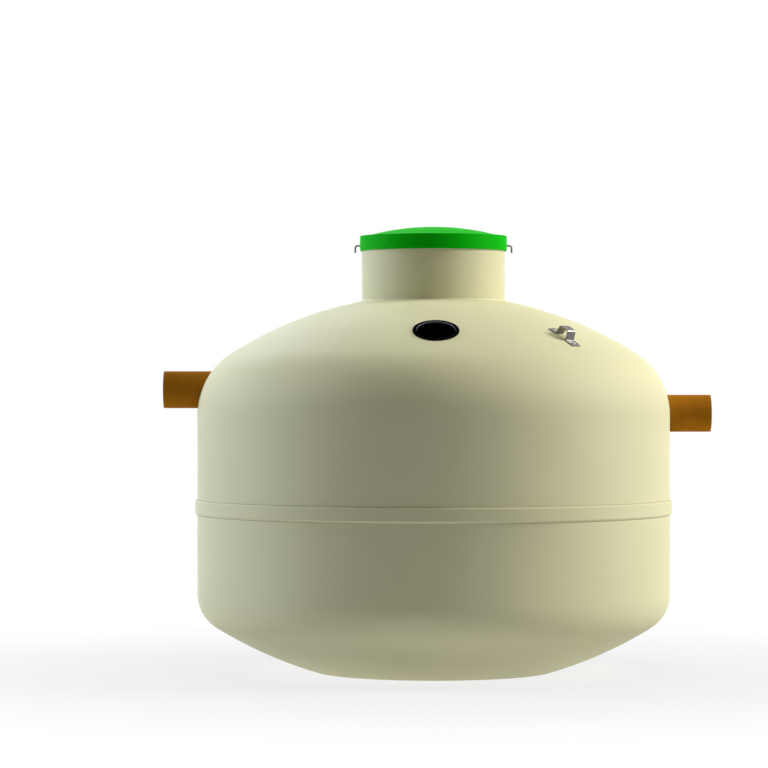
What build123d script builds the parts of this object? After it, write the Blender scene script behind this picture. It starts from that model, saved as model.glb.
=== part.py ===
from build123d import *
import os
from math import asin, cos, degrees, radians, sin, sqrt

# Oil separator: a glass-fibre tank with a dished base, a domed roof, a neck with a pinned lid and two pipes.
# Millimetres, +Z up. The origin is the centre of the flat foot, on the tank's axis.
# The inlet is on -X, the outlet on +X, and the ring seal in the roof is on the front, -Y.

# Tank shell
TANK_RADIUS = 1020.0
SHELL_THICKNESS = 8.0
FOOT_RADIUS = 511.0
BASE_CROWN_RADIUS = 1779.0
BASE_KNUCKLE_RADIUS = 168.0
SHOULDER_HEIGHT = 1107.0
ROOF_CROWN_RADIUS = 1627.0
ROOF_KNUCKLE_RADIUS = 316.0
ROOF_SKIRT_BELOW_PIPE = 19.0
WALL_SIDES = ("right", "back", "left", "front")

# Belt over the joint of the two mouldings
JOINT_HEIGHT = 710.0
BELT_WIDTH = 63.0
BELT_DEPTH = 9.5
BELT_TOP_CHAMFER = 5.0
BELT_BOTTOM_CHAMFER = 7.0

# Neck
NECK_RADIUS = 309.0
NECK_THICKNESS = 9.0
NECK_TOP_ABOVE_SHOULDER = 760.0
NECK_DEPTH_INSIDE = 30.0

# Lid
LID_RADIUS = 318.0
LID_THICKNESS = 4.0
LID_SKIRT_DEPTH = 65.0
LID_EDGE_RADIUS = 4.0
LID_RIM_WIDTH = 44.0
LID_RIM_RISE = 4.5
LID_CROWN_RADIUS = 1082.0
GASKET_WIDTH = 12.0
GASKET_THICKNESS = 9.0

# Locking pins
PIN_RADIUS = 4.0
PIN_BELOW_NECK_TOP = 28.0
PIN_BEND_RADIUS = 10.0
PIN_REACH = 20.5
PIN_LEG_DROP = 31.0
PIN_CLEARANCE = 0.4

# Pipes
PIPE_RADIUS = 80.0
PIPE_THICKNESS = 4.0
PIPE_INSIDE = 50.0
INLET_ABOVE_SHOULDER = 109.0
INLET_REACH = 146.0
OUTLET_BELOW_INLET = 102.0
OUTLET_REACH = 178.0

# Ring seal in the roof
VENT_FROM_WALL = 305.0
VENT_BORE_RADIUS = 80.0
VENT_SEAL_WALL = 7.0
VENT_FLANGE_RADIUS = 97.0
VENT_FLANGE_HEIGHT = 2.5
VENT_INNER_FLANGE_RADIUS = 94.0
VENT_SEAL_DEPTH = 8.0
VENT_EDGE_CHAMFER = 1.5

# Lifting lugs
LUG_FROM_WALL = 251.0
LUG_BEARINGS = {"front_right": -45.7, "back_left": 134.3}
LUG_WIDTH = 49.0
LUG_LENGTH = 155.0
LUG_THICKNESS = 5.0
LUG_HEIGHT = 45.0
LUG_TOP_WIDTH = 46.0
LUG_LEG_SPREAD = 65.0
LUG_BEND_RADIUS = 8.0
LUG_HOLE_RADIUS = 6.0
LUG_HOLE_FROM_END = 18.0

# Gap that stands for the bonding or seating line between curved pieces
SEAT_GAP = 0.3

# Places worked out from the sizes
BASE_CENTRE_Z = sqrt(BASE_CROWN_RADIUS**2 - FOOT_RADIUS**2)
BASE_KNUCKLE_R = TANK_RADIUS - BASE_KNUCKLE_RADIUS
WALL_BOTTOM = BASE_CENTRE_Z - sqrt((BASE_CROWN_RADIUS - BASE_KNUCKLE_RADIUS) ** 2 - BASE_KNUCKLE_R**2)
ROOF_KNUCKLE_R = TANK_RADIUS - ROOF_KNUCKLE_RADIUS
ROOF_CENTRE_Z = SHOULDER_HEIGHT - sqrt(
    (ROOF_CROWN_RADIUS - ROOF_KNUCKLE_RADIUS) ** 2 - ROOF_KNUCKLE_R**2
)
INLET_HEIGHT = SHOULDER_HEIGHT + INLET_ABOVE_SHOULDER
OUTLET_HEIGHT = INLET_HEIGHT - OUTLET_BELOW_INLET
ROOF_BOTTOM = min(SHOULDER_HEIGHT, OUTLET_HEIGHT - PIPE_RADIUS) - ROOF_SKIRT_BELOW_PIPE
NECK_TOP = SHOULDER_HEIGHT + NECK_TOP_ABOVE_SHOULDER
SHELL_INNER_RADIUS = TANK_RADIUS - SHELL_THICKNESS
NECK_HOLE_RADIUS = NECK_RADIUS + SEAT_GAP
VENT_HOLE_RADIUS = VENT_BORE_RADIUS + VENT_SEAL_WALL + SEAT_GAP
PIPE_HOLE_RADIUS = PIPE_RADIUS + SEAT_GAP
PIN_HEIGHT = NECK_TOP - PIN_BELOW_NECK_TOP
PIN_TIP = NECK_RADIUS + SEAT_GAP
INLET_END = TANK_RADIUS + INLET_REACH
OUTLET_END = TANK_RADIUS + OUTLET_REACH
VENT_DISTANCE = TANK_RADIUS - VENT_FROM_WALL
LUG_DISTANCE = TANK_RADIUS - LUG_FROM_WALL
GASKET_BOTTOM = NECK_TOP + SEAT_GAP
GASKET_TOP = GASKET_BOTTOM + GASKET_THICKNESS


def revolved(*edges):
    """Spin a closed profile, drawn as (radius, height), round the tank's axis."""
    return revolve(Plane.XZ * make_face(Curve() + list(edges)), Axis.Z)


def ring(inner, outer, bottom, top):
    """A plain ring about the tank's axis."""
    return revolved(Polyline((inner, bottom), (outer, bottom), (outer, top), (inner, top), close=True))


def arc_between(centre_z, radius, inner_r, outer_r, side):
    """Arc of a crown centred on the axis, from one radius to another, side +1 for a roof, -1 for a base."""
    def point(r):
        return (r, centre_z + side * sqrt(radius**2 - r**2))

    return ThreePointArc(point(inner_r), point((inner_r + outer_r) / 2), point(outer_r))


def knuckle(centre, radius, start, end):
    """Arc of a knuckle from one bearing to another, in degrees from level."""
    def point(bearing):
        angle = radians(bearing)
        return (centre[0] + radius * cos(angle), centre[1] + radius * sin(angle))

    return ThreePointArc(point(start), point((start + end) / 2), point(end))


def dished_base():
    """The bottom end: a flat foot, a crown and a knuckle, with an even wall."""
    lean = degrees(asin(BASE_KNUCKLE_R / (BASE_CROWN_RADIUS - BASE_KNUCKLE_RADIUS)))
    centre = (BASE_KNUCKLE_R, WALL_BOTTOM)
    outer_knuckle = knuckle(centre, BASE_KNUCKLE_RADIUS, lean - 90, 0)
    inner_knuckle = knuckle(centre, BASE_KNUCKLE_RADIUS - SHELL_THICKNESS, lean - 90, 0)
    inner_crown_radius = BASE_CROWN_RADIUS - SHELL_THICKNESS
    inner_foot = sqrt(inner_crown_radius**2 - (BASE_CENTRE_Z - SHELL_THICKNESS) ** 2)
    outer = arc_between(BASE_CENTRE_Z, BASE_CROWN_RADIUS, FOOT_RADIUS, (outer_knuckle @ 0).X, -1)
    inner = arc_between(BASE_CENTRE_Z, inner_crown_radius, inner_foot, (inner_knuckle @ 0).X, -1)
    return revolved(
        Line((0, 0), outer @ 0),
        outer,
        outer_knuckle,
        Line(outer_knuckle @ 1, inner_knuckle @ 1),
        inner_knuckle,
        inner,
        Line(inner @ 0, (0, SHELL_THICKNESS)),
        Line((0, SHELL_THICKNESS), (0, 0)),
    )


def roof_shell():
    """The top end before its holes are cut: a crown, a knuckle and a straight skirt, open at the neck."""
    lean = degrees(asin(ROOF_KNUCKLE_R / (ROOF_CROWN_RADIUS - ROOF_KNUCKLE_RADIUS)))
    centre = (ROOF_KNUCKLE_R, SHOULDER_HEIGHT)
    outer_knuckle = knuckle(centre, ROOF_KNUCKLE_RADIUS, 90 - lean, 0)
    inner_knuckle = knuckle(centre, ROOF_KNUCKLE_RADIUS - SHELL_THICKNESS, 90 - lean, 0)
    outer = arc_between(ROOF_CENTRE_Z, ROOF_CROWN_RADIUS, NECK_HOLE_RADIUS, (outer_knuckle @ 0).X, 1)
    inner_crown_radius = ROOF_CROWN_RADIUS - SHELL_THICKNESS
    inner = arc_between(ROOF_CENTRE_Z, inner_crown_radius, NECK_HOLE_RADIUS, (inner_knuckle @ 0).X, 1)
    return revolved(
        outer,
        outer_knuckle,
        Line(outer_knuckle @ 1, (TANK_RADIUS, ROOF_BOTTOM)),
        Line((TANK_RADIUS, ROOF_BOTTOM), (SHELL_INNER_RADIUS, ROOF_BOTTOM)),
        Line((SHELL_INNER_RADIUS, ROOF_BOTTOM), inner_knuckle @ 1),
        inner_knuckle,
        inner,
        Line(inner @ 0, outer @ 0),
    )


def roof_place(distance, bearing):
    """Plane on the roof's outer face at a distance from the axis: Z outwards, X downhill."""
    slope = asin(distance / ROOF_CROWN_RADIUS)
    height = ROOF_CENTRE_Z + ROOF_CROWN_RADIUS * cos(slope)
    plane = Plane(
        origin=(distance, 0, height),
        x_dir=(cos(slope), 0, -sin(slope)),
        z_dir=(sin(slope), 0, cos(slope)),
    )
    return Rot(0, 0, bearing) * Location(plane)


VENT_PLACE = roof_place(VENT_DISTANCE, -90)


def domed_roof():
    """The roof with its holes for the ring seal and the two pipes."""
    vent_hole = VENT_PLACE * Cylinder(VENT_HOLE_RADIUS, 8 * SHELL_THICKNESS)
    return roof_shell() - vent_hole - pipe_hole(-1, INLET_HEIGHT) - pipe_hole(1, OUTLET_HEIGHT)


def pipe_hole(side, height):
    """Level cutter from the axis out through the shell."""
    cutter = Cylinder(PIPE_HOLE_RADIUS, TANK_RADIUS, align=(Align.CENTER, Align.CENTER, Align.MIN))
    return Location((0, 0, height), (0, 90 * side, 0)) * Pos(0, 0, TANK_RADIUS / 2) * cutter


def wall_segment(bottom, top, bearing):
    """A quarter of the round wall, centred on a bearing."""
    height = top - bottom
    tube = Cylinder(TANK_RADIUS, height) - Cylinder(SHELL_INNER_RADIUS, height)
    corner = Box(2 * TANK_RADIUS, 2 * TANK_RADIUS, height, align=(Align.MIN, Align.MIN, Align.CENTER))
    return Location((0, 0, (bottom + top) / 2), (0, 0, bearing - 45)) * (tube & corner)


def joint_belt():
    """The band over the joint, with bevelled edges."""
    inner = TANK_RADIUS + SEAT_GAP
    outer = TANK_RADIUS + BELT_DEPTH
    bottom = JOINT_HEIGHT - BELT_WIDTH / 2
    top = JOINT_HEIGHT + BELT_WIDTH / 2
    return revolved(
        Polyline(
            (inner, bottom),
            (outer - BELT_BOTTOM_CHAMFER, bottom),
            (outer, bottom + BELT_BOTTOM_CHAMFER),
            (outer, top - BELT_TOP_CHAMFER),
            (outer - BELT_TOP_CHAMFER, top),
            (inner, top),
            close=True,
        )
    )


def neck():
    """The collar, set into the roof."""
    foot = ROOF_CENTRE_Z + sqrt(ROOF_CROWN_RADIUS**2 - NECK_RADIUS**2) - NECK_DEPTH_INSIDE
    return ring(NECK_RADIUS - NECK_THICKNESS, NECK_RADIUS, foot, NECK_TOP)


def lid():
    """The cover: a crowned plate, a sloping rim and a skirt that drops round the neck."""
    inner_radius = LID_RADIUS - LID_THICKNESS
    crown_edge = LID_RADIUS - LID_RIM_WIDTH
    edge_inner = GASKET_TOP + SEAT_GAP
    edge_top = edge_inner + LID_THICKNESS
    skirt_bottom = edge_top - LID_SKIRT_DEPTH
    crown_foot = edge_top + LID_RIM_RISE
    centre_z = crown_foot - sqrt(LID_CROWN_RADIUS**2 - crown_edge**2)
    outer = arc_between(centre_z, LID_CROWN_RADIUS, 0, crown_edge, 1)
    inner = arc_between(centre_z, LID_CROWN_RADIUS - LID_THICKNESS, 0, crown_edge, 1)
    corner = (LID_RADIUS - LID_EDGE_RADIUS, edge_top - LID_EDGE_RADIUS)
    edge = knuckle(corner, LID_EDGE_RADIUS, 90, 0)
    cover = revolved(
        outer,
        Line(outer @ 1, edge @ 0),
        edge,
        Line(edge @ 1, (LID_RADIUS, skirt_bottom)),
        Line((LID_RADIUS, skirt_bottom), (inner_radius, skirt_bottom)),
        Line((inner_radius, skirt_bottom), (inner_radius, edge_inner)),
        Line((inner_radius, edge_inner), inner @ 1),
        inner,
        Line(inner @ 0, outer @ 0),
    )
    pin_holes = Cylinder(PIN_RADIUS + PIN_CLEARANCE, 3 * LID_RADIUS)
    return cover - Location((0, 0, PIN_HEIGHT), (0, 90, 0)) * pin_holes


def lid_gasket():
    """The ring under the lid that beds on the neck's rim."""
    outer = NECK_RADIUS + (GASKET_WIDTH - NECK_THICKNESS) / 2
    return ring(outer - GASKET_WIDTH, outer, GASKET_BOTTOM, GASKET_TOP)


def locking_pin(side):
    """A rod through the lid's skirt, bent down outside it."""
    leg_x = LID_RADIUS + PIN_REACH
    path = FilletPolyline(
        (PIN_TIP, 0, PIN_HEIGHT),
        (leg_x, 0, PIN_HEIGHT),
        (leg_x, 0, PIN_HEIGHT - PIN_LEG_DROP),
        radius=PIN_BEND_RADIUS,
    )
    start = Plane(origin=path @ 0, z_dir=path % 0)
    rod = sweep(start * Circle(PIN_RADIUS), path=path)
    return rod if side > 0 else Rot(0, 0, 180) * rod


def pipe(side, height, end):
    """A pipe stub that stands through the shell."""
    shell_r = shell_radius_at(height)
    start = shell_r - SHELL_THICKNESS - PIPE_INSIDE
    length = end - start
    tube = Cylinder(PIPE_RADIUS, length) - Cylinder(PIPE_RADIUS - PIPE_THICKNESS, length)
    return Location((side * (start + end) / 2, 0, height), (0, 90, 0)) * tube


def shell_radius_at(height):
    """Outer radius of the wall or of the roof's knuckle at a height."""
    if height <= SHOULDER_HEIGHT:
        return TANK_RADIUS
    return ROOF_KNUCKLE_R + sqrt(ROOF_KNUCKLE_RADIUS**2 - (height - SHOULDER_HEIGHT) ** 2)


def vent_seal():
    """The rubber ring that grips the edge of the roof's hole, with a flange above and below the shell."""
    sleeve_radius = VENT_BORE_RADIUS + VENT_SEAL_WALL

    def face(radius, r):
        return sqrt(radius**2 - r**2) - ROOF_CROWN_RADIUS

    above = ROOF_CROWN_RADIUS + SEAT_GAP
    below = ROOF_CROWN_RADIUS - SHELL_THICKNESS - SEAT_GAP
    profile = make_face(
        Polyline(
            (VENT_BORE_RADIUS, VENT_FLANGE_HEIGHT),
            (VENT_FLANGE_RADIUS, VENT_FLANGE_HEIGHT),
            (VENT_FLANGE_RADIUS, face(above, VENT_FLANGE_RADIUS)),
            (sleeve_radius, face(above, sleeve_radius)),
            (sleeve_radius, face(below, sleeve_radius)),
            (VENT_INNER_FLANGE_RADIUS, face(below, VENT_INNER_FLANGE_RADIUS)),
            (VENT_INNER_FLANGE_RADIUS, -SHELL_THICKNESS - VENT_SEAL_DEPTH),
            (VENT_BORE_RADIUS, -SHELL_THICKNESS - VENT_SEAL_DEPTH),
            close=True,
        )
    )
    top_corners = profile.vertices().sort_by(Axis.Y)[-2:]
    return VENT_PLACE * revolve(Plane.XZ * chamfer(top_corners, VENT_EDGE_CHAMFER), Axis.Z)


def lifting_lug(bearing):
    """A strip bent to a hat, with square-cut feet that lean with the roof under them."""
    level = LUG_THICKNESS / 2 + SEAT_GAP
    top = LUG_HEIGHT - LUG_THICKNESS / 2

    def foot_point(x):
        return (x, 0, level + sqrt(ROOF_CROWN_RADIUS**2 - x**2) - ROOF_CROWN_RADIUS)

    path = FilletPolyline(
        foot_point(-LUG_LENGTH / 2),
        foot_point(-LUG_LEG_SPREAD / 2),
        (-LUG_TOP_WIDTH / 2, 0, top),
        (LUG_TOP_WIDTH / 2, 0, top),
        foot_point(LUG_LEG_SPREAD / 2),
        foot_point(LUG_LENGTH / 2),
        radius=LUG_BEND_RADIUS,
    )
    start = Plane(origin=path @ 0, x_dir=(0, 1, 0), z_dir=path % 0)
    strip = sweep(start * Rectangle(LUG_WIDTH, LUG_THICKNESS), path=path)
    hole_x = LUG_LENGTH / 2 - LUG_HOLE_FROM_END
    hole = Cylinder(LUG_HOLE_RADIUS, 4 * LUG_THICKNESS)
    bracket = strip - [Pos(x, 0, level) * hole for x in (-hole_x, hole_x)]
    return roof_place(LUG_DISTANCE, bearing) * bracket


def build_parts():
    """Every piece by the name of its node."""
    parts = {
        "dished_base": dished_base(),
        "joint_belt": joint_belt(),
        "domed_roof": domed_roof(),
        "neck": neck(),
        "vent_seal": vent_seal(),
        "inlet_pipe": pipe(-1, INLET_HEIGHT, INLET_END),
        "outlet_pipe": pipe(1, OUTLET_HEIGHT, OUTLET_END),
        "lid": lid(),
        "lid_gasket": lid_gasket(),
        "locking_pin_left": locking_pin(-1),
        "locking_pin_right": locking_pin(1),
    }
    for index, side in enumerate(WALL_SIDES):
        parts[f"lower_wall_{side}"] = wall_segment(WALL_BOTTOM, JOINT_HEIGHT, 90 * index)
        parts[f"upper_wall_{side}"] = wall_segment(JOINT_HEIGHT, ROOF_BOTTOM, 90 * index)
    for corner, bearing in LUG_BEARINGS.items():
        parts[f"lifting_lug_{corner}"] = lifting_lug(bearing)
    return parts


os.makedirs("parts", exist_ok=True)
for name, shape in build_parts().items():
    export_step(shape, f"parts/{name}.step")
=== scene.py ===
"""Dresses the oil separator and lays out its stage.

Gel-coated mouldings, a green pinned cover, plastic pipes, a rubber ring seal and steel lifting lugs.
"""
from math import acos, asin, atan2, cos, hypot, pi, radians, sin, sqrt, tan

import bmesh
import bpy
import numpy as np
from bpy.props import FloatProperty, FloatVectorProperty, IntProperty, PointerProperty
from mathutils import Matrix, Vector


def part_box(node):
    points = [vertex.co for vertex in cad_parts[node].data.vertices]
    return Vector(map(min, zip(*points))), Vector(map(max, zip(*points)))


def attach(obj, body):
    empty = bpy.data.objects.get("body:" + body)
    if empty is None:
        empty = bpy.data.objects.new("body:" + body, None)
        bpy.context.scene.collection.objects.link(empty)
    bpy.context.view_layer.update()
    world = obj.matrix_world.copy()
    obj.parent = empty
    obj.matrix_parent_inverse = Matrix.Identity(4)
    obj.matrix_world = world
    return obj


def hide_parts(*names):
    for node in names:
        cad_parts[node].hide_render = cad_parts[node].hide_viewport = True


bl_info = {
    "name": "Oil Separator Tank",
    "version": (1, 0, 0),
    "blender": (4, 5, 0),
    "location": "View3D > Sidebar > Oil Separator",
    "description": "Builds the visible surfaces and finishes of a glass-fibre oil separator",
    "category": "Object",
}

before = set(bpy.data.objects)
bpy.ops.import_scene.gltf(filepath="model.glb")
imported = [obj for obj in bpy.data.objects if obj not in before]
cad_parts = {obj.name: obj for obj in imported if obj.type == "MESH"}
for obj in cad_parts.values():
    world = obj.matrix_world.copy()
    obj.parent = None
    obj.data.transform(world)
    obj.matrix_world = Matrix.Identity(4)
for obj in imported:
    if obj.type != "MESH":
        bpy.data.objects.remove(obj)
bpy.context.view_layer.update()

# Sizes read from the construction, in metres
BASE_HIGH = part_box("dished_base")[1]
BELT_LOW, BELT_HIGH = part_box("joint_belt")
NECK_LOW, NECK_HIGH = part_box("neck")
LID_LOW, LID_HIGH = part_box("lid")
GASKET_LOW, GASKET_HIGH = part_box("lid_gasket")
INLET_LOW, INLET_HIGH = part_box("inlet_pipe")
OUTLET_LOW, OUTLET_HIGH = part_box("outlet_pipe")
PIN_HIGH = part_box("locking_pin_right")[1]

TANK_RADIUS = BASE_HIGH.x
JOINT_HEIGHT = (BELT_LOW.z + BELT_HIGH.z) / 2
NECK_RADIUS = NECK_HIGH.x
LID_RADIUS = LID_HIGH.x
PIPE_RADIUS = (INLET_HIGH.z - INLET_LOW.z) / 2
TANK_MIDDLE = LID_HIGH.z / 2

# Curves of the two dished ends, as they were moulded
SHELL = 0.008
FOOT_RADIUS = 0.511
BASE_CROWN = 1.779
BASE_KNUCKLE = 0.168
SHOULDER = 1.107
ROOF_CROWN = 1.627
ROOF_KNUCKLE = 0.316
BASE_CENTRE = sqrt(BASE_CROWN**2 - FOOT_RADIUS**2)
BASE_RING = TANK_RADIUS - BASE_KNUCKLE
BASE_LEAN = asin(BASE_RING / (BASE_CROWN - BASE_KNUCKLE))
WALL_BOTTOM = BASE_HIGH.z
ROOF_RING = TANK_RADIUS - ROOF_KNUCKLE
ROOF_LEAN = asin(ROOF_RING / (ROOF_CROWN - ROOF_KNUCKLE))
ROOF_CENTRE = SHOULDER - (ROOF_CROWN - ROOF_KNUCKLE) * cos(ROOF_LEAN)

# Walls and places of the fittings
SEAT_GAP = 0.0003
NECK_WALL = 0.009
PIPE_WALL = 0.004
VENT_DISTANCE = 0.715
VENT_BORE = 0.080
VENT_FLANGE = 0.097
VENT_INNER_FLANGE = 0.094
VENT_SLEEVE = 0.087
VENT_RISE = 0.0025
VENT_DROP = 0.016
VENT_BEARING = radians(-90)
LUG_DISTANCE = 0.769
LUG_BEARINGS = {"front_right": radians(-45.7), "back_left": radians(134.3)}
LUG_LENGTH = 0.155
LUG_WIDTH = 0.049
LUG_THICKNESS = 0.005
LUG_HEIGHT = 0.045
LUG_TOP_WIDTH = 0.046
LUG_LEG_SPREAD = 0.065
LUG_BEND = 0.008
LUG_FOOT_BEND = 0.0045
LUG_HOLE_FROM_END = 0.018
LID_WALL = 0.004
LID_RIM_WIDTH = 0.044
LID_RIM_RISE = 0.0045
LID_CROWN = 1.082
PIN_RADIUS = 0.004
PIN_AXIS_HEIGHT = PIN_HIGH.z - PIN_RADIUS
PIN_BEND = 0.010
PIN_HOLE = 0.0044
WALL_SIDES = ("front", "right", "back", "left")
ALONG_X = Matrix.Rotation(pi / 2, 4, "Y")

# Small features of the fittings
SKIN_GAP = 0.0001
BELT_LOWER_CHAMFER = 0.007
BELT_UPPER_CHAMFER = 0.005
BEAD_ROOT = 0.001
BEAD_LAP = 0.0003
COVER_LIP_HEIGHT = 0.0150
COVER_LIP_INSET = 0.0012
GASKET_WIDTH = 0.012
GASKET_ROUNDING = 0.0012
SEAL_LIP = 0.0040
ROD_EDGE = 0.0008
LUG_EDGE = 0.0009

# Steps round the turned pieces, where they aren't the mouldings' own
CUTTER_STEPS = 96
PIN_HOLE_STEPS = 32
NECK_STEPS = 192
SEAL_STEPS = 160
PIPE_STEPS = 128
ROD_STEPS = 24
BOLT_STEPS = 48

# Finishes: the part of a pattern that they use, and the gloss of the gel coats
PATTERN_LOW, PATTERN_HIGH = 0.3, 0.7
GEL_GLOSS = 0.06
COVER_GLOSS = 0.03
COVER_DULLER = 0.05
# Darkening of the resin lines at the belt's edges: painted shade
BELT_SHADE_TONE = 0.55
COVER_LAMINATE_TONE = 0.5
# Pale colour of the ring seal's lip: a painted highlight
LIP_HIGHLIGHT_TONE = 45
BOLT_TONE = 2.4

# Tolerances: distances in metres, and how alike two directions are
SAME_POINT = 1e-7
TINY = 1e-9
PROFILE_REACH = 0.0008
HOLE_REACH = 0.0006
ALIKE = 0.9
MITRE_LIMIT = 0.2

# Lamps: bearing from the front round to the right and elevation, both in degrees, and colour
LAMPS = {
    "right": (91.5, 26.5, (1.0, 0.967, 0.91)),
    "left": (-104.3, 18.1, (0.78, 0.836, 1.0)),
    "back": (-152.6, 38.6, (0.75, 0.79, 1.0)),
    "top": (0.0, 88.0, (0.985, 1.0, 0.90)),
}

# Floor: its grey, how dark its shading may get beside the tank, and its stronger glow by the foot
FLOOR_GREY = 0.38
FLOOR_STEPS = 96
FLOOR_SHADING = 0.72
FOOT_GLOW = 1.5
WHITE = (1.0, 1.0, 1.0, 1.0)

# Camera at the photograph's place, in metres
CAMERA_PLACE = (-0.2139, -14.63, 1.2407)
CAMERA_LENS = 158.4
CAMERA_SENSOR = 36.0
CAMERA_REACH = 200.0


# Profiles

def straight(start, end, finish=0):
    """A straight run of a profile, with its outward side on the right of the way it goes."""
    dr, dz = end[0] - start[0], end[1] - start[1]
    length = hypot(dr, dz)
    normal = (dz / length, -dr / length)
    return {"points": [(*start, *normal), (*end, *normal)], "finish": finish}


def arc(centre, radius, first, last, steps, finish=0):
    """A round run of a profile. Turning left it is a bulge, and turning right a hollow."""
    side = 1 if last > first else -1
    points = []
    for i in range(steps + 1):
        a = first + (last - first) * i / steps
        c, s = cos(a), sin(a)
        points.append((centre[0] + radius * c, centre[1] + radius * s, side * c, side * s))
    return {"points": points, "finish": finish}


def rounded(corners, finish=0, steps=5, closed=True):
    """Runs along a polygon of (radius, height, rounding), with every rounded corner a true arc."""
    count = len(corners)
    cut = []
    for i, (r, z, rounding) in enumerate(corners):
        here = Vector((r, z))
        if not closed and i in (0, count - 1):
            cut.append((here, here, None))
            continue
        back = (Vector(corners[i - 1][:2]) - here).normalized()
        on = (Vector(corners[(i + 1) % count][:2]) - here).normalized()
        if rounding <= 0:
            cut.append((here, here, None))
            continue
        half = acos(max(-1.0, min(1.0, back.dot(on)))) / 2
        reach = rounding / tan(half)
        start, end = here + back * reach, here + on * reach
        centre = here + (back + on).normalized() * (rounding / sin(half))
        first = atan2(start.y - centre.y, start.x - centre.x)
        last = atan2(end.y - centre.y, end.x - centre.x)
        turn = (last - first + pi) % (2 * pi) - pi
        cut.append((start, end, (centre, rounding, first, first + turn)))
    runs = []
    for i in range(count if closed else count - 1):
        start, end = cut[i][1], cut[(i + 1) % count][0]
        if (end - start).length > SAME_POINT:
            runs.append(straight(tuple(start), tuple(end), finish))
        bend = cut[(i + 1) % count][2]
        if bend:
            runs.append(arc(tuple(bend[0]), *bend[1:], steps, finish))
    return runs


def tube_wall(inner, outer, low, high, edge):
    """The closed profile of a tube, with its sawn edges broken."""
    return rounded([(inner, low, edge), (outer, low, edge), (outer, high, edge), (inner, high, edge)])


def middle_of(run):
    """The middle point of a run, as its radius, its height and the normal there."""
    return run["points"][len(run["points"]) // 2]


# Meshes

def linked_object(name, data):
    """A new object of the scene."""
    obj = bpy.data.objects.new(name, data)
    bpy.context.scene.collection.objects.link(obj)
    return obj


def finish_mesh(name, coords, faces, normals, finishes, materials):
    """Turns lists into a smooth mesh object with its own true normals."""
    mesh = bpy.data.meshes.new(name)
    mesh.from_pydata([tuple(c) for c in coords], [], faces)
    mesh.polygons.foreach_set("material_index", finishes)
    mesh.polygons.foreach_set("use_smooth", [True] * len(faces))
    for material in materials:
        mesh.materials.append(material)
    if normals is not None:
        mesh.normals_split_custom_set(normals)
    mesh.update()
    return linked_object(name, mesh)


def lathe(name, runs, steps, materials, place=None):
    """Spins a profile round the Z axis, with the profile's own normals on every face corner."""
    place = place or Matrix.Identity(4)
    turn = place.to_3x3()
    rings, coords = {}, []
    angles = [2 * pi * j / steps for j in range(steps)]

    def ring(r, z):
        key = (round(r, 7), round(z, 7))
        if key not in rings:
            rings[key] = len(coords)
            spots = [(0.0, 0.0, z)] if r < SAME_POINT else [(r * cos(a), r * sin(a), z) for a in angles]
            coords.extend(place @ Vector(s) for s in spots)
        return rings[key]

    faces, normals, finishes = [], [], []
    for run in runs:
        for (r0, z0, a0, b0), (r1, z1, a1, b1) in zip(run["points"], run["points"][1:]):
            low, high = ring(r0, z0), ring(r1, z1)
            for j, angle in enumerate(angles):
                k = (j + 1) % steps
                near, far = (cos(angle), sin(angle)), (cos(angles[k]), sin(angles[k]))
                if r0 < SAME_POINT:
                    face = (low, high + k, high + j)
                    spots = ((0.0, b0, near), (a1, b1, far), (a1, b1, near))
                elif r1 < SAME_POINT:
                    face = (low + j, low + k, high)
                    spots = ((a0, b0, near), (a0, b0, far), (0.0, b1, near))
                else:
                    face = (low + j, low + k, high + k, high + j)
                    spots = ((a0, b0, near), (a0, b0, far), (a1, b1, far), (a1, b1, near))
                faces.append(face)
                finishes.append(run["finish"])
                normals.extend(turn @ Vector((a * c, a * s, b)) for a, b, (c, s) in spots)
    return finish_mesh(name, coords, faces, normals, finishes, materials)


def apply_modifiers(obj):
    """Gives a piece the mesh that its modifiers make."""
    bpy.context.view_layer.update()
    graph = bpy.context.evaluated_depsgraph_get()
    old, result = obj.data, bpy.data.meshes.new_from_object(obj.evaluated_get(graph))
    obj.modifiers.clear()
    obj.data = result
    result.name = old.name
    bpy.data.meshes.remove(old)


def cut_away(obj, cutters):
    """Takes the cutters out of a piece and removes them."""
    for tool in cutters:
        modifier = obj.modifiers.new("cut", "BOOLEAN")
        modifier.operation = "DIFFERENCE"
        modifier.solver = "EXACT"
        modifier.object = tool
    apply_modifiers(obj)
    for tool in cutters:
        bpy.data.objects.remove(tool)


def shape_object(name, maker, **sizes):
    """An object made by one of the mesh tools, with closed ends."""
    mesh = bpy.data.meshes.new(name)
    shape = bmesh.new()
    maker(shape, cap_ends=True, **sizes)
    shape.to_mesh(mesh)
    shape.free()
    return linked_object(name, mesh)


def cutter(radius, length, place, steps=CUTTER_STEPS):
    """A round cutter along the Z axis of its place."""
    return shape_object(
        "cutter", bmesh.ops.create_cone,
        segments=steps, radius1=radius, radius2=radius, depth=length, matrix=place,
    )


def read_all(items, name, kind=float, width=1):
    """One value of every item of a mesh, as an array."""
    values = np.empty(len(items) * width, kind)
    items.foreach_get(name, values)
    return values.reshape(-1, width) if width > 1 else values


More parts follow.
